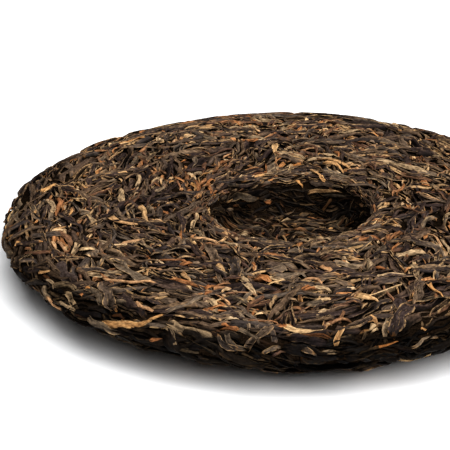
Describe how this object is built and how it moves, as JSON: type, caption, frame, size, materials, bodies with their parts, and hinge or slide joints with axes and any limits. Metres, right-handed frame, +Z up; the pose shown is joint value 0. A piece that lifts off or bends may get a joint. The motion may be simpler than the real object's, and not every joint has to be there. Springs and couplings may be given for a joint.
{
  "type": "pressed raw tea cake",
  "caption": "Round flat disc of pressed, twisted tea leaves with a rounded rim, a domed underside that rests on a flat spot, and a round dimple in the middle of its upper face.",
  "frame": {"origin": "middle of the disc on the surface that it rests on, under the centre of the dimple", "axes": "+Z up through the dimple, along the axis of the disc; -Y towards the side that the picture shows nearest"},
  "size_m": [0.2014, 0.2013, 0.0257],
  "materials": {
    "pressed_tea": "dry, matte, coarse pressed leaf in dark purple-brown and grey",
    "dark_leaf": "dry rolled leaf, dark grey-brown with a faint sheen on its ridges",
    "brown_leaf": "dry twisted leaf, warm brown",
    "olive_leaf": "dry folded leaf, olive grey with pale tan edges",
    "golden_bud": "dry downy bud, golden tan, matte",
    "stem": "dry ribbed stem, reddish tan"
  },
  "bodies": {
    "root": {"tea_cake": "pressed_tea"}
  },
  "joints": []
}
